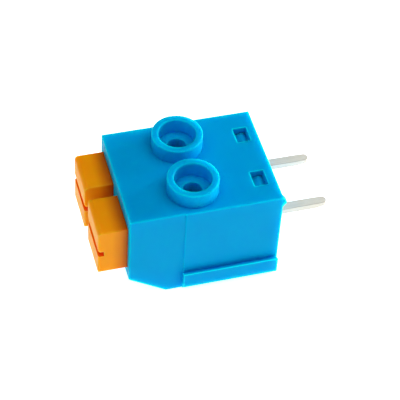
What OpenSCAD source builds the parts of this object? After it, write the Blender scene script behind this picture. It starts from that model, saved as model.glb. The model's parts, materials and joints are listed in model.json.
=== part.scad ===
// Two-pole spring terminal block for a circuit board, with push buttons.
// It lies on its back: wire entries point up (+Z), solder pins along +X, push buttons along -X,
// and the two poles sit side by side along Y. The origin is the middle of the housing's back face.

/* [Housing] */
// Distance between the two poles
pitch = 5; // [5:0.02:5.08]
// Length of the housing from its button face to its pin face
body_l = 12.56; // [12.5:0.02:13]
// Height of the housing from its back face to its wire entry face
body_h = 9; // [9:0.1:9.6]
// Wall between a chamber and the outside of the housing
wall = 0.54; // [0.5:0.02:0.6]
// Thickness of the slab under the chambers
floor_t = 2.4; // [2.4:0.05:2.5]
// Thickness of the wall above the chambers
roof_t = 0.8; // [0.6:0.05:0.85]
// Length of the sloped corner under the buttons
slope_l = 3.25; // [2:0.25:3.5]
// Height of the sloped corner under the buttons
slope_h = 2.2; // [1.4:0.1:2.2]
// Radius of the housing's outer edges
edge_r = 0.1; // [0.08:0.02:0.2]

/* [Wire entry] */
// Height of the collar above the wire entry face
collar_h = 1.36; // [0.8:0.02:1.6]
// Outer radius of the collar
collar_r = 2.1; // [2.02:0.02:2.2]
// Radius of the collar's bore, which takes the wire's insulation
collar_bore_r = 1.53; // [1.4:0.01:1.6]
// Radius of the hole for the bare wire
wire_r = 0.8; // [0.7:0.05:0.85]
// Distance of the collar's centre from the button face
collar_x = 5.7; // [5.7:0.05:5.8]

/* [Push buttons] */
// Length of the button that stands out of the housing
button_out = 2.4; // [2:0.1:2.8]
// Height of the button's head
button_h = 4.6; // [4.4:0.1:4.7]
// How far a button travels
button_travel = 1.7; // [1.5:0.05:1.7]
// Height of the screwdriver slot across the button's end
slot_h = 0.55; // [0.4:0.05:0.8]
// Depth of the screwdriver slot
slot_d = 0.5; // [0.3:0.05:0.7]

/* [Contacts] */
// Thickness of the contact strip
strip_t = 0.5; // [0.4:0.05:0.5]
// Width of the contact strip inside the chamber
strip_w = 2.1; // [1.8:0.1:2.2]
// Width of the solder pin
pin_w = 0.75; // [0.6:0.05:1]
// Length of the solder pin beyond the pin face
pin_out = 4.74; // [3:0.02:5]

/* [Leaf springs] */
// Thickness of the spring leaf
leaf_t = 0.3; // [0.2:0.02:0.3]
// Width of the spring leaf
leaf_w = 3.3; // [3:0.1:3.4]
// Mean radius of the spring's loop
loop_r = 0.7; // [0.65:0.01:0.7]
// Angle between the clamping leg and the upright, at rest
leg_angle = 52; // [50:1:52]

/* [Side rail] */
// How far the rail stands out of the side
rail_out = 0.52; // [0.4:0.02:0.6]
// Height of the rail's lower face above the back face
rail_z = 0.6; // [0.5:0.05:0.8]
// Height of the rail's outer face
rail_h = 1.55; // [1.2:0.05:1.6]
// Distance of the rail's end from the button face
rail_x = 4.5; // [4:0.1:4.5]
// Length of the rail
rail_l = 8; // [7:0.1:8]

/* [Hidden] */
$fn = 96;

eps = 0.01;
past = 1;                              // how far a cut runs past a face
poles = [-pitch / 2, pitch / 2];
body_w = 2 * pitch;
x_btn = -body_l / 2;                   // button face
x_pin = body_l / 2;                    // pin face
front = -body_w / 2;                   // side with the rail
back = body_w / 2;                     // side with the groove
chamber_w = pitch - 2 * wall;
roof_z = body_h - roof_t;
entry_x = x_btn + collar_x;
rim_z = body_h + collar_h;
fit_gap = 0.06;                        // clearance of a moving or inserted piece, each side
panel_out = 0.08;                      // how far the thicker part of each side stands out
rail_slope = 0.23;                     // fall of the rail's upper face towards the housing
groove_gap = 0.04;                     // clearance of the groove around a neighbour's rail
rim_fillet = 0.08;                     // edge radius of a collar's rim
funnel_top = body_h + 0.54;            // where the funnel starts below the rim
funnel_bottom = body_h - 0.06;         // where the funnel meets the wire hole
guide_z = 7.2;                         // lower end of the guide around the wire hole
guide_wall = 0.3;                      // its wall on the side of the spring
guide_w = 2.3;                         // its width, between the button's fork arms

front_wall = 1;                        // wall behind the button face
slot_z0 = 3.05;                        // underside of the button
cover_t = 1;                           // thickness of the cover plate
cover_inset = 0.05;                    // cover's outer face below the pin face
mouth_x = x_pin - cover_t - 0.1;       // where the mouth for the cover starts
mouth_z = 1.65;                        // sill of the mouth
window_l = 1.15;
window_w = 1.6;
window_x = x_btn + 10.65;
pocket_l = 5.5;                        // relief pockets in the back face
pocket_w = 3.4;
pocket_d = 1.1;
pocket_x = x_btn + 4.6;
foot_l = 0.28;                         // standoff feet on the pin face
foot_w = 0.45;
foot_h = 0.95;
foot_tip = 0.2;                        // height of a foot's flat tip
low_feet = [-3.6, 3.6];                // middles of the two lower feet

plate_x = entry_x - wire_r;            // the clamping face that the wire is pressed against
plate_top = guide_z - 0.05;
riser_x = x_btn + 10.2;
bend_r = 0.3;                          // inner radius of the strip's bends
pin_top = 5.06;
pin_bend_r = 0.25;
pin_tip = x_btn + body_l + pin_out;
pin_taper = 1;                         // length of the coined tip
pin_thinning = 0.14;                   // how much thinner the pin is at its tip
boss_l = 0.4;                          // boss that backs the contact's upper end
boss_z = 6.6;

loop_x = x_btn + 9.3;                  // centre of the spring's loop, where the leg turns
loop_z = 7.3;
leg_l = 4.72;                          // length of the clamping leg
tail_z = 3.2;                          // lower end of the spring's fixed leg
loop_end = 180 - leg_angle;            // where the loop runs into the clamping leg
loop_split = 100;                      // where the fixed part of the spring ends
split_gap = 2;                         // angle left open between its two parts
split_a1 = loop_split + split_gap;

arm_w = 0.62;                          // fork arms of the button
arm_y = 1.53;                          // centre of a fork arm from the pole's centre
arm_z0 = 4.5;
arm_z1 = 5.84;
arm_x = x_btn + 5.94;                  // tip of a fork arm, behind the clamping leg
flange_x = x_btn + front_wall + fit_gap;
// The flange meets the boss when the button is pressed all the way
flange_l = plate_x - strip_t - boss_l - fit_gap - button_travel - flange_x;

// ---------- shared shapes ----------

// Plate outline with rounded corners, centred on the origin
module rounded_outline(w, h, r) {
    square([w - 2 * r, h], center = true);
    square([w, h - 2 * r], center = true);
    for (sx = [-1, 1], sy = [-1, 1])
        translate([sx * (w / 2 - r), sy * (h / 2 - r)]) circle(r);
}

// Box between two corners with every outer edge rounded
module rounded_box(low, high, r) {
    size = high - low;
    translate((low + high) / 2) intersection() {
        translate([0, 0, -size[2] / 2]) linear_extrude(size[2]) rounded_outline(size[0], size[1], r);
        rotate([90, 0, 0]) translate([0, 0, -size[1] / 2]) linear_extrude(size[1])
            rounded_outline(size[0], size[2], r);
        rotate([90, 0, 90]) translate([0, 0, -size[0] / 2]) linear_extrude(size[0])
            rounded_outline(size[1], size[2], r);
    }
}

// Box between two corners
module box(low, high) {
    translate(low) cube(high - low);
}

// Flat ring sector about the origin, from angle a0 to a1 (less than a half turn)
module sector(r_in, r_out, a0, a1) {
    reach = 3 * r_out;
    intersection() {
        difference() {
            circle(r_out);
            circle(r_in);
        }
        polygon([[0, 0], [reach * cos(a0), reach * sin(a0)],
                 [reach * cos((a0 + a1) / 2), reach * sin((a0 + a1) / 2)],
                 [reach * cos(a1), reach * sin(a1)]]);
    }
}

// Turns a side view drawn in X and Z into a solid of width w about y
module across(y, w) {
    translate([0, y + w / 2, 0]) rotate([90, 0, 0]) linear_extrude(w) children();
}

// ---------- housing ----------

module outer_block() {
    rounded_box([x_btn, front, 0], [x_pin, back, body_h], edge_r);
    rounded_box([x_btn + rail_x, front - panel_out, 0], [x_pin, back + panel_out, body_h], edge_r);
}

module slope_cut() {
    across(0, body_w + 2 * past)
        polygon([[x_btn - past, -past], [x_btn + slope_l + past * slope_l / slope_h, -past],
                 [x_btn - past, slope_h + past * slope_h / slope_l]]);
}

module rail() {
    root = front - panel_out / 2;
    tip = front - rail_out;
    top = rail_z + rail_h;
    translate([x_btn + rail_x, 0, 0]) rotate([90, 0, 90]) linear_extrude(rail_l)
        polygon([[root, rail_z], [tip, rail_z], [tip, top], [root, top - rail_slope]]);
}

module groove_cut() {
    depth = rail_out - panel_out + groove_gap;
    low = rail_z - groove_gap;
    top = rail_z + rail_h + groove_gap;
    translate([x_btn + rail_x - groove_gap, 0, 0]) rotate([90, 0, 90]) linear_extrude(body_l)
        polygon([[back + panel_out + eps, low], [back - depth, low], [back - depth, top],
                 [back + panel_out + eps, top - rail_slope]]);
}

module collar(y) {
    ring = (collar_r - collar_bore_r) / 2;
    translate([entry_x, y, 0]) rotate_extrude() {
        translate([collar_bore_r, body_h - 0.3]) square([2 * ring, collar_h + 0.3 - rim_fillet]);
        translate([collar_bore_r + rim_fillet, body_h]) square([2 * (ring - rim_fillet), collar_h]);
        for (r = [collar_bore_r + rim_fillet, collar_r - rim_fillet])
            translate([r, rim_z - rim_fillet]) circle(rim_fillet, $fn = 32);
    }
}

module entry_cut(y) {
    translate([entry_x, y, 0]) {
        translate([0, 0, funnel_top - eps]) cylinder(h = collar_h + past, r = collar_bore_r);
        translate([0, 0, funnel_bottom])
            cylinder(h = funnel_top - funnel_bottom, r1 = wire_r, r2 = collar_bore_r);
        translate([0, 0, guide_z - past]) cylinder(h = funnel_bottom - guide_z + past + eps, r = wire_r);
    }
}

module chamber_cut(y) {
    half = chamber_w / 2;
    button_low = slot_z0 - fit_gap;
    button_top = slot_z0 + button_h + fit_gap;
    box([x_btn - past, y - half, button_low], [x_btn + front_wall + eps, y + half, button_top]);
    difference() {
        box([x_btn + front_wall, y - half, floor_t], [mouth_x + eps, y + half, roof_z]);
        box([plate_x - strip_t - boss_l, y - strip_w / 2, boss_z],
            [plate_x - strip_t, y + strip_w / 2, body_h]);
        box([plate_x - strip_t - eps, y - guide_w / 2, guide_z],
            [entry_x + wire_r + guide_wall, y + guide_w / 2, body_h]);
    }
}

module window_cut(y) {
    box([window_x, y - window_w / 2, roof_z - past], [window_x + window_l, y + window_w / 2, body_h + past]);
}

// Wedge-shaped foot about y, from height z upwards
module foot(y, z) {
    tip_z = z + foot_h * 0.4;
    across(y, foot_w)
        polygon([[x_pin - edge_r, z], [x_pin, z], [x_pin + foot_l, tip_z], [x_pin + foot_l, tip_z + foot_tip],
                 [x_pin, z + foot_h], [x_pin - edge_r, z + foot_h]]);
}

module feet() {
    foot(front + foot_w / 2, body_h - edge_r - foot_h);
    for (y = low_feet) foot(y, edge_r + foot_tip);
}

module housing() {
    color("deepskyblue") {
        difference() {
            union() {
                outer_block();
                rail();
                for (y = poles) collar(y);
            }
            slope_cut();
            groove_cut();
            box([mouth_x, front + wall, mouth_z], [x_pin + past, back - wall, roof_z]);
            for (y = poles) {
                entry_cut(y);
                chamber_cut(y);
                window_cut(y);
                box([pocket_x, y - pocket_w / 2, -past], [pocket_x + pocket_l, y + pocket_w / 2, pocket_d]);
            }
        }
        feet();
    }
}

// ---------- base cover ----------

// Latch nose: a ramp that runs smoothly into a round crest, with the catch face on its far side
module latch_nose(y) {
    crest_r = 0.35;
    crest_x = window_x + window_l - fit_gap - crest_r;
    crest_z = body_h - 0.58;
    low = roof_z - fit_gap - eps;
    start = [window_x + fit_gap, low];
    centre = [crest_x, crest_z - crest_r];
    reach = norm(centre - start);
    slope = atan2(centre[1] - start[1], centre[0] - start[0]) + asin(crest_r / reach);
    ramp_end = centre + 0.97 * crest_r * [-sin(slope), cos(slope)];
    across(y, window_w - 2 * fit_gap) {
        polygon([start, ramp_end, [crest_x, low - eps], [start[0], low - eps]]);
        intersection() {
            translate(centre) circle(crest_r);
            translate([start[0], low - eps]) square([window_l, crest_z]);
        }
    }
}

module base_cover() {
    top = roof_z - fit_gap;
    outer = x_pin - cover_inset;
    block_w = chamber_w - 4 * fit_gap;
    color("dodgerblue") difference() {
        union() {
            box([outer - cover_t, front + wall + fit_gap, mouth_z + fit_gap],
                [outer, back - wall - fit_gap, top]);
            for (y = poles) {
                box([riser_x + fit_gap, y - block_w / 2, pin_top + fit_gap + 0.2],
                    [outer - eps, y + block_w / 2, top]);
                latch_nose(y);
            }
        }
        for (y = poles)
            box([riser_x, y - pin_w / 2 - fit_gap, pin_top - strip_t - fit_gap],
                [x_pin + past, y + pin_w / 2 + fit_gap, pin_top + fit_gap]);
    }
}

// ---------- contacts ----------

// Side view of the strip: clamping plate, bottom run, riser and pin
module contact_side() {
    z0 = floor_t;
    outer_r = bend_r + strip_t;
    left = plate_x - strip_t;
    right = riser_x + strip_t;
    pin_low = pin_top - strip_t;
    pin_x = right + pin_bend_r;
    translate([left, z0 + outer_r]) square([strip_t, plate_top - z0 - outer_r]);
    translate([left + outer_r, z0 + outer_r]) sector(bend_r, outer_r, 180, 270);
    translate([left + outer_r, z0]) square([right - left - 2 * outer_r, strip_t]);
    translate([right - outer_r, z0 + outer_r]) sector(bend_r, outer_r, 270, 360);
    translate([riser_x, z0 + outer_r]) square([strip_t, pin_low - pin_bend_r - z0 - outer_r]);
    translate([pin_x, pin_low - pin_bend_r]) sector(pin_bend_r, pin_bend_r + strip_t, 90, 180);
    translate([pin_x, pin_low]) square([pin_tip - pin_x, strip_t]);
}

// Plan of the strip: wide in the chamber, narrow at the pin, with a round tip
module contact_plan(y) {
    tip_r = 0.9 * pin_w / 2;
    tip_x = pin_tip - tip_r;
    neck_x = riser_x + strip_t;
    translate([plate_x - strip_t - past, y - strip_w / 2])
        square([neck_x - plate_x + strip_t + past, strip_w]);
    polygon([[neck_x - eps, y - pin_w / 2], [pin_tip - pin_taper, y - pin_w / 2], [tip_x, y - tip_r],
             [tip_x, y + tip_r], [pin_tip - pin_taper, y + pin_w / 2], [neck_x - eps, y + pin_w / 2]]);
    translate([tip_x, y]) circle(tip_r);
}

// Side view of the wedge that thins the pin's tip from below
module coined_tip() {
    low = pin_top - strip_t;
    polygon([[pin_tip - pin_taper, low - eps], [pin_tip - pin_taper, low],
             [pin_tip + eps, low + pin_thinning], [pin_tip + eps, low - eps]]);
}

module contact(y) {
    color("gainsboro") difference() {
        intersection() {
            across(y, strip_w) contact_side();
            linear_extrude(body_h) contact_plan(y);
        }
        across(y, strip_w + past) coined_tip();
    }
}

// ---------- leaf springs ----------

// Fixed part: the first stretch of the loop and the leg that rests against the riser
module spring(y) {
    color("lightslategray") across(y, leaf_w) {
        translate([loop_x, loop_z]) sector(loop_r - leaf_t / 2, loop_r + leaf_t / 2, 0, loop_split);
        translate([loop_x + loop_r - leaf_t / 2, tail_z]) square([leaf_t, loop_z - tail_z]);
    }
}

// Moving part: the rest of the loop and the leg that clamps the wire
module clamp_leg(y) {
    color("lightslategray") across(y, leaf_w) translate([loop_x, loop_z]) {
        sector(loop_r - leaf_t / 2, loop_r + leaf_t / 2, split_a1, loop_end);
        rotate(loop_end - 90) translate([-leg_l, loop_r - leaf_t / 2]) square([leg_l + eps, leaf_t]);
    }
}

// ---------- push buttons ----------

// Side view of the head: rounded upper edge, screwdriver slot with one rounded lip
module button_side() {
    x0 = x_btn - button_out;
    x1 = x_btn + front_wall;
    top = slot_z0 + button_h;
    lip_r = 0.25;
    corner_r = 0.45;
    slot_low = slot_z0 + 1.9;
    slot_top = slot_low + slot_h;
    difference() {
        translate([x0, slot_z0]) square([x1 - x0 + eps, button_h]);
        translate([x0 - eps, slot_low]) square([slot_d + eps, slot_h]);
        difference() {
            translate([x0 - eps, top - corner_r]) square(corner_r + eps);
            translate([x0 + corner_r, top - corner_r]) circle(corner_r);
        }
        difference() {
            translate([x0 - eps, slot_top - eps]) square([lip_r + eps, lip_r + eps]);
            translate([x0 + lip_r, slot_top + lip_r]) circle(lip_r);
        }
    }
}

module button(y) {
    head_w = chamber_w - 2 * fit_gap;
    side_r = 0.15;
    length_r = 0.1;
    x0 = x_btn - button_out;
    x1 = x_btn + front_wall;
    flange_top = roof_z - fit_gap;
    flange_low = floor_t + fit_gap;
    color("orange") {
        intersection() {
            across(y, head_w) button_side();
            translate([(x0 + x1 + past) / 2, y, 0]) linear_extrude(body_h)
                rounded_outline(x1 - x0 + past, head_w, side_r);
            translate([x0 - eps, y, slot_z0 + button_h / 2]) rotate([90, 0, 90])
                linear_extrude(x1 - x0 + 2 * eps) rounded_outline(head_w, button_h, length_r);
        }
        box([x1, y - head_w / 2, slot_z0], [flange_x + eps, y + head_w / 2, slot_z0 + button_h]);
        box([flange_x, y - head_w / 2, flange_low], [flange_x + flange_l, y + head_w / 2, flange_top]);
        for (s = [-1, 1])
            across(y + s * arm_y, arm_w)
                polygon([[flange_x + flange_l - eps, arm_z0],
                         [arm_x - (arm_z1 - arm_z0) * tan(leg_angle), arm_z0],
                         [arm_x, arm_z1], [arm_x - 0.5, arm_z1 + 0.5],
                         [flange_x + flange_l - eps, arm_z1 + 0.5]]);
    }
}

module button_1() { button(poles[0]); }
module button_2() { button(poles[1]); }
module contact_1() { contact(poles[0]); }
module contact_2() { contact(poles[1]); }
module spring_1() { spring(poles[0]); }
module spring_2() { spring(poles[1]); }
module clamp_leg_1() { clamp_leg(poles[0]); }
module clamp_leg_2() { clamp_leg(poles[1]); }

housing();
base_cover();
button_1();
button_2();
contact_1();
contact_2();
spring_1();
spring_2();
clamp_leg_1();
clamp_leg_2();
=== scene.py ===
"""Looks of the two-pole push-button terminal block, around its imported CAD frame.

Everything is in metres in the CAD's own frame: the block lies on its back face, wire entries up (+Z),
solder pins along +X, push buttons along -X.
"""

import json
import math

import bmesh
import bpy
from mathutils import Matrix, Vector


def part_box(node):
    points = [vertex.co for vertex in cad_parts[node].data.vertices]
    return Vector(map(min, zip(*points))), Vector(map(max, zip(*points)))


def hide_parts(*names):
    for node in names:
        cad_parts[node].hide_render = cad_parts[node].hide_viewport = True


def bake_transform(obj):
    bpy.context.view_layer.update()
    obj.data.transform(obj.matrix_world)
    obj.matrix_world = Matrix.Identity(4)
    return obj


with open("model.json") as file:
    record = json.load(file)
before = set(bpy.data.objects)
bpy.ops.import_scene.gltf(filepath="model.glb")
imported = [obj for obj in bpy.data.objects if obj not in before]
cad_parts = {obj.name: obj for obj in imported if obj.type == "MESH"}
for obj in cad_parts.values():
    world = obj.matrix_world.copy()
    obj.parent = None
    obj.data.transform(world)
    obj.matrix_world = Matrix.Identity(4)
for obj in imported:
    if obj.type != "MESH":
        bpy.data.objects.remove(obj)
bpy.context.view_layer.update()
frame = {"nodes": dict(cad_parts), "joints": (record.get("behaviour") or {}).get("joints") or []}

MM = 0.001
SCENE = bpy.context.scene
POLES = ("1", "2")


# ---------- camera, light and floor ----------

CAMERA_PLACE = (-27.29, -85.89, 103.0)  # mm
CAMERA_AZIMUTH = -18.19                # degrees; 0 looks along +Y
CAMERA_ELEVATION = 47.40
CAMERA_ROLL = 4.02
CAMERA_LENS = 145.6                    # mm on a 36 mm sensor
DARK_CARD = (162.0, 47.0)              # azimuth and elevation of the dark part of the surroundings


def aimed(azimuth, elevation, roll=0.0):
    """Rotation of a camera or light that looks at the object from that azimuth and elevation."""
    az, el, turn = (math.radians(a) for a in (azimuth, elevation, roll))
    back = Vector((math.sin(az) * math.cos(el), -math.cos(az) * math.cos(el), math.sin(el)))
    right = Vector((math.cos(az), math.sin(az), 0.0))
    up = back.cross(right)
    c, s = math.cos(turn), math.sin(turn)
    axes = Matrix((c * right + s * up, c * up - s * right, back)).transposed()
    return axes.to_4x4(), back


def add_camera():
    data = bpy.data.cameras.new("camera")
    data.lens = CAMERA_LENS
    data.sensor_width = 36.0
    data.clip_start = 0.005
    data.clip_end = 10.0
    camera = bpy.data.objects.new("camera", data)
    camera.matrix_world = Matrix.Translation(Vector(CAMERA_PLACE) * MM) @ aimed(
        CAMERA_AZIMUTH, CAMERA_ELEVATION, CAMERA_ROLL)[0]
    SCENE.collection.objects.link(camera)
    SCENE.camera = camera


def add_softbox(name, azimuth, elevation, distance, size, watts, colour=(1.0, 1.0, 1.0)):
    """A square area light that faces the object's middle."""
    data = bpy.data.lights.new(name, "AREA")
    data.shape = "SQUARE"
    data.size = size
    data.energy = watts
    data.color = colour
    light = bpy.data.objects.new(name, data)
    turn, back = aimed(azimuth, elevation)
    light.matrix_world = Matrix.Translation(back * distance + Vector((0.0, 0.0, 0.005))) @ turn
    light.visible_camera = False
    SCENE.collection.objects.link(light)


def add_world(strength, dark_strength):
    """Even light all round, with a dark card behind the object where its upper faces mirror the studio."""
    world = bpy.data.worlds.new("studio")
    world.use_nodes = True
    tree = world.node_tree
    place = tree.nodes.new("ShaderNodeTexCoord")
    facing = tree.nodes.new("ShaderNodeVectorMath")
    facing.operation = "DOT_PRODUCT"
    facing.inputs[1].default_value = aimed(*DARK_CARD)[1]
    fade = tree.nodes.new("ShaderNodeMapRange")
    fade.interpolation_type = "SMOOTHSTEP"
    fade.inputs["From Min"].default_value = 0.35
    fade.inputs["From Max"].default_value = 0.85
    fade.inputs["To Min"].default_value = strength
    fade.inputs["To Max"].default_value = dark_strength
    background = tree.nodes["Background"]
    background.inputs["Color"].default_value = (1.0, 1.0, 1.0, 1.0)
    tree.links.new(place.outputs["Generated"], facing.inputs[0])
    tree.links.new(facing.outputs["Value"], fade.inputs["Value"])
    tree.links.new(fade.outputs["Result"], background.inputs["Strength"])
    SCENE.world = world


def add_floor():
    """Pale table just under the object. It gives some light of its own, so that the shadow on it stays faint, and
    it can be seen through from below, so that the object's underside shows."""
    half, depth = 1.5, -0.02 * MM
    corners = [(-half, -half, depth), (half, -half, depth), (half, half, depth), (-half, half, depth)]
    mesh = bpy.data.meshes.new("floor")
    mesh.from_pydata(corners, [], [(0, 1, 2, 3)])
    floor = bpy.data.objects.new("floor", mesh)
    SCENE.collection.objects.link(floor)
    material = bpy.data.materials.new("floor_paper")
    material.use_nodes = True
    tree = material.node_tree
    shader = tree.nodes["Principled BSDF"]
    shader.inputs["Base Color"].default_value = (0.92, 0.92, 0.92, 1.0)
    shader.inputs["Roughness"].default_value = 0.9
    shader.inputs["Specular IOR Level"].default_value = 0.1
    shader.inputs["Emission Color"].default_value = (1.0, 1.0, 1.0, 1.0)
    shader.inputs["Emission Strength"].default_value = 0.83
    either = tree.nodes.new("ShaderNodeMixShader")
    tree.links.new(tree.nodes.new("ShaderNodeNewGeometry").outputs["Backfacing"], either.inputs["Fac"])
    tree.links.new(shader.outputs["BSDF"], either.inputs[1])
    tree.links.new(tree.nodes.new("ShaderNodeBsdfTransparent").outputs["BSDF"], either.inputs[2])
    tree.links.new(either.outputs["Shader"], tree.nodes["Material Output"].inputs["Surface"])
    mesh.materials.append(material)


def light_the_scene():
    SCENE.view_settings.view_transform = "Standard"
    add_world(0.19, 0.02)
    add_softbox("key", 70, 64, 0.30, 0.22, 0.40)
    add_softbox("right", 103, 8, 0.20, 0.08, 0.44)
    add_softbox("left", -100, 68, 0.30, 0.22, 0.28)


# ---------- material nodes ----------

class Shader:
    """A Principled material under construction, with short calls for the nodes used here."""

    def __init__(self, name):
        self.material = bpy.data.materials.new(name)
        self.material.use_nodes = True
        self.tree = self.material.node_tree
        self.bsdf = self.tree.nodes["Principled BSDF"]
        self.place = self.node("ShaderNodeTexCoord").outputs["Object"]

    def node(self, kind, **settings):
        made = self.tree.nodes.new(kind)
        for key, value in settings.items():
            setattr(made, key, value)
        return made

    def link(self, source, target):
        self.tree.links.new(source, target)

    def set(self, **values):
        for key, value in values.items():
            self.bsdf.inputs[key.replace("_", " ")].default_value = value

    def stretched(self, scale):
        """Object coordinates scaled per axis, for grain that runs along one of them."""
        mapping = self.node("ShaderNodeMapping")
        mapping.inputs["Scale"].default_value = scale
        self.link(self.place, mapping.inputs["Vector"])
        return mapping.outputs["Vector"]

    def noise(self, size_mm, detail=3.0, roughness=0.5, vector=None):
        """Noise whose features are about size_mm wide."""
        made = self.node("ShaderNodeTexNoise")
        made.inputs["Scale"].default_value = 1000.0 / size_mm
        made.inputs["Detail"].default_value = detail
        made.inputs["Roughness"].default_value = roughness
        self.link(vector or self.place, made.inputs["Vector"])
        return made.outputs["Fac"]

    def spread(self, value, low, high, from_low=0.3, from_high=0.7):
        """Maps a noise value to a range."""
        made = self.node("ShaderNodeMapRange")
        made.inputs["From Min"].default_value = from_low
        made.inputs["From Max"].default_value = from_high
        made.inputs["To Min"].default_value = low
        made.inputs["To Max"].default_value = high
        self.link(value, made.inputs["Value"])
        return made.outputs["Result"]

    def mixed(self, factor, colour_a, colour_b):
        """A colour between two others: each is a colour or another node's output."""
        made = self.node("ShaderNodeMix", data_type="RGBA")
        self.link(factor, made.inputs["Factor"])
        for socket, colour in ((made.inputs[6], colour_a), (made.inputs[7], colour_b)):
            if isinstance(colour, tuple):
                socket.default_value = (*colour, 1.0)
            else:
                self.link(colour, socket)
        return made.outputs[2]

    def edge_highlight_and_shear_mask(self, reach_mm):
        """1 along outer edges, falling to 0 that far from them. It masks the painted highlight along the plastics'
        edges and the tin's duller sheared edges.
        """
        made = self.node("ShaderNodeAmbientOcclusion", inside=True, only_local=True, samples=16)
        made.inputs["Distance"].default_value = reach_mm * MM
        edge = self.spread(made.outputs["AO"], 0.0, 1.0, from_low=1.0, from_high=0.45)
        sharper = self.node("ShaderNodeMath", operation="POWER")
        sharper.inputs[1].default_value = 1.3
        self.link(edge, sharper.inputs[0])
        return sharper.outputs["Value"]

    def crevice_shade_mask(self, reach_mm):
        """0 in the open, rising to 1 where other surfaces close in within that distance; the mask for painted shade.
        """
        made = self.node("ShaderNodeAmbientOcclusion", samples=16)
        made.inputs["Distance"].default_value = reach_mm * MM
        return self.spread(made.outputs["AO"], 0.0, 1.0, from_low=1.0, from_high=0.40)

    def bump(self, *layers):
        """Stacked bump: each layer is (height, depth in mm)."""
        normal = None
        for height, depth_mm in layers:
            made = self.node("ShaderNodeBump")
            made.inputs["Strength"].default_value = 1.0
            made.inputs["Distance"].default_value = depth_mm * MM
            self.link(height, made.inputs["Height"])
            if normal:
                self.link(normal, made.inputs["Normal"])
            normal = made.outputs["Normal"]
        self.link(normal, self.bsdf.inputs["Normal"])


def moulded_plastic(name, colour, deep_colour, edge_highlight_colour, specular):
    """Satin moulded plastic: faint colour drift, a painted highlight along its outer edges, uneven gloss, fine mould
    skin.

    colour and deep_colour are node outputs or colours. Nothing is linked to the constants set here.
    """
    s = Shader(name)
    drift = s.spread(s.noise(4.0, detail=2.0), 0.0, 1.0)
    body = s.mixed(drift, colour, deep_colour)
    # Painted highlight: the outer edges are mixed towards a lighter colour.
    s.link(s.mixed(s.edge_highlight_and_shear_mask(0.15), body, edge_highlight_colour), s.bsdf.inputs["Base Color"])
    s.link(s.spread(s.noise(0.9, detail=4.0), 0.36, 0.50), s.bsdf.inputs["Roughness"])
    s.set(Specular_IOR_Level=specular, IOR=1.5, Subsurface_Weight=1.0)
    s.bump((s.noise(0.12, detail=2.0), 0.0012), (s.noise(1.6, detail=1.0), 0.004))
    return s


def housing_plastic():
    # The third colour is the painted highlight along the housing's edges.
    s = moulded_plastic("housing_plastic_blue", (0.0, 0.370, 0.75), (0.0, 0.355, 0.73), (0.0, 0.80, 1.0), 0.03)
    s.set(Specular_Tint=(0.0, 0.8, 1.0, 1.0), Subsurface_Radius=(0.1, 1.0, 0.75), Subsurface_Scale=0.0016)
    return s.material


def button_plastic():
    """Orange plastic with painted shade: redder where it sees itself or the housing, and browner towards the housing.
    """
    # The third colour is the painted highlight along the button's edges.
    s = moulded_plastic("button_plastic_orange", (1.0, 0.37, 0.001), (0.98, 0.34, 0.001), (1.0, 0.46, 0.02), 0.10)
    s.set(Subsurface_Radius=(1.0, 0.5, 0.2), Subsurface_Scale=0.0010)
    plain = s.bsdf.inputs["Base Color"].links[0].from_socket
    # Painted shade: deep red-orange in gaps and creases, where other surfaces close in.
    crevice_shaded = s.mixed(s.crevice_shade_mask(1.2), plain, (0.85, 0.09, 0.001))
    # Painted shade: browner towards the housing's mouth, where the housing shades the button.
    along = s.node("ShaderNodeSeparateXYZ")
    s.link(s.place, along.inputs["Vector"])
    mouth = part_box("housing")[0][0]
    housing_shade = s.spread(along.outputs["X"], 0.0, 0.45, from_low=mouth - 1.3 * MM, from_high=mouth + 0.2 * MM)
    s.link(s.mixed(housing_shade, crevice_shaded, (0.36, 0.09, 0.008)), s.bsdf.inputs["Base Color"])
    return s.material


def tinned_metal():
    """Matt tin plating over stamped strip: faint streaks along the strip, uneven brightness, duller sheared edges."""
    s = Shader("tin_plating")
    streaks = s.noise(0.25, detail=3.0, vector=s.stretched((0.12, 1.0, 1.0)))
    plating = s.mixed(s.spread(streaks, 0.0, 1.0), (0.90, 0.85, 0.72), (0.82, 0.77, 0.65))
    s.link(s.mixed(s.edge_highlight_and_shear_mask(0.07), plating, (0.42, 0.40, 0.33)), s.bsdf.inputs["Base Color"])
    s.link(s.spread(s.noise(0.5, detail=3.0), 0.45, 0.6), s.bsdf.inputs["Roughness"])
    s.set(Metallic=0.27)
    s.bump((streaks, 0.002), (s.noise(0.1, detail=2.0), 0.001))
    return s.material


def spring_steel():
    """Bright rolled stainless strip: fine grain across the leaf."""
    s = Shader("spring_steel")
    grain = s.noise(0.05, detail=4.0, vector=s.stretched((0.15, 1.0, 0.15)))
    s.link(s.mixed(s.spread(grain, 0.0, 1.0), (0.60, 0.61, 0.63), (0.48, 0.49, 0.51)), s.bsdf.inputs["Base Color"])
    s.link(s.spread(grain, 0.22, 0.38), s.bsdf.inputs["Roughness"])
    s.set(Metallic=1.0)
    s.bump((grain, 0.001))
    return s.material


# ---------- pieces ----------

LEAF_T = 0.3 * MM                      # thickness of the spring strip
LOOP_R = 0.7 * MM                      # mean radius of its loop
LEG_L = 4.72 * MM                      # length of its clamping leg
LEG_TURN = 128                         # degrees round the loop from the fixed leg to the clamping leg
STRIP_EDGE = 0.07 * MM                 # rounding of the strip's sheared edges
CORNER_R = 0.35 * MM                   # rounding of the strip's corners, seen flat
SHARP_ANGLE = 48                       # degrees between two faces, from which the edge is shaded sharp


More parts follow.
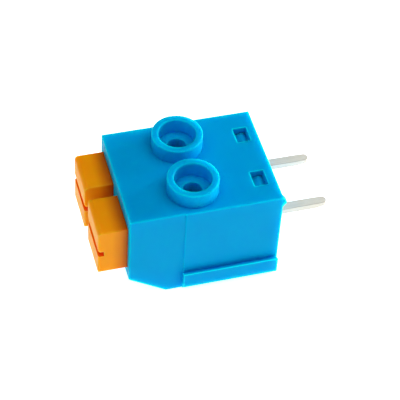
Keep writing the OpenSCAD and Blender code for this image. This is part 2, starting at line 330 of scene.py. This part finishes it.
def spring_line(pivot, tail_z):
    """Middle of the strip in X and Z, from its tail round the loop to the clamping edge.

    Each station is (x, z, turn in degrees, distance to the nearer end).
    """
    x, z = pivot
    end = math.radians(LEG_TURN)
    tail_l = z - tail_z
    tail = [0.0, 0.02, 0.08, 0.18, 0.35] + [tail_l / MM * k / 10 for k in range(2, 10)]
    line = [(x + LOOP_R, tail_z + d * MM, 0.0, d * MM) for d in tail]
    for k in range(33):
        turn = LEG_TURN * k / 32
        a = math.radians(turn)
        line.append((x + LOOP_R * math.cos(a), z + LOOP_R * math.sin(a), turn, tail_l))
    start_x, start_z = line[-1][:2]
    leg = [LEG_L / MM * k / 12 for k in range(1, 11)] + [LEG_L / MM - d for d in (0.35, 0.18, 0.08, 0.02, 0.0)]
    for d in leg:
        line.append((start_x - d * MM * math.sin(end), start_z + d * MM * math.cos(end), LEG_TURN, LEG_L - d * MM))
    return line


def strip_section(half_w, half_t):
    """Rounded section of the strip: (across the width, outwards) points round its four rounded edges."""
    r = min(STRIP_EDGE, half_t)
    points = []
    for quarter in range(4):
        side = 1 if quarter in (0, 3) else -1
        up = 1 if quarter < 2 else -1
        for k in range(5):
            a = math.radians(90 * quarter + 22.5 * k)
            points.append((side * (half_w - r) + r * math.cos(a), up * (half_t - r) + r * math.sin(a)))
    return points


def leaf_spring(pole, material):
    """One bent strip that stands for a pole's fixed spring leg and its clamping leg."""
    low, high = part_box(f"spring_{pole}")
    hinge = next(j for j in frame["joints"] if j["name"] == f"clamp_leg_{pole}_bend")["pos_m"]
    middle, half_w = (low.y + high.y) / 2, (high.y - low.y) / 2
    shape = bmesh.new()
    rings = []
    for x, z, turn, to_end in spring_line((hinge[0], hinge[2]), low.z):
        a = math.radians(turn)
        inset = CORNER_R - to_end
        narrower = CORNER_R - math.sqrt(CORNER_R ** 2 - inset ** 2) if inset > 0 else 0.0
        thinner = max(0.0, 0.04 * MM - to_end)
        section = strip_section(half_w - narrower, LEAF_T / 2 - thinner)
        rings.append([shape.verts.new((x + out * math.cos(a), middle + across, z + out * math.sin(a)))
                      for across, out in section])
    n = len(rings[0])
    for one, two in zip(rings, rings[1:]):
        for k in range(n):
            shape.faces.new((one[k], one[(k + 1) % n], two[(k + 1) % n], two[k]))
    shape.faces.new(rings[0][::-1])
    shape.faces.new(rings[-1])
    bmesh.ops.recalc_face_normals(shape, faces=shape.faces)
    for face in shape.faces:
        face.smooth = len(face.verts) == 4
    mesh = bpy.data.meshes.new(f"leaf_spring_{pole}")
    shape.to_mesh(mesh)
    shape.free()
    mesh.materials.append(material)
    strip = bpy.data.objects.new(f"leaf_spring_{pole}", mesh)
    SCENE.collection.objects.link(strip)
    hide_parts(f"spring_{pole}", f"clamp_leg_{pole}")
    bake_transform(strip)


def finish_cad_node(name, material):
    """Gives a CAD node its material and smooth shading over its small roundings, without touching its mesh."""
    node = frame["nodes"][name]
    for place in node.material_slots:
        place.material = material
    weld = node.modifiers.new("weld", "WELD")
    weld.merge_threshold = 0.002 * MM
    split = node.modifiers.new("sharp_edges", "EDGE_SPLIT")
    split.split_angle = math.radians(SHARP_ANGLE)
    normals = node.modifiers.new("normals", "WEIGHTED_NORMAL")
    normals.mode = "FACE_AREA_WITH_ANGLE"
    return node


def build():
    blue = housing_plastic()
    orange = button_plastic()
    tin = tinned_metal()
    steel = spring_steel()
    finish_cad_node("housing", blue)
    finish_cad_node("base_cover", blue)
    for pole in POLES:
        finish_cad_node(f"button_{pole}", orange)
        finish_cad_node(f"contact_{pole}", tin)
        leaf_spring(pole, steel)


add_camera()
light_the_scene()
add_floor()
build()
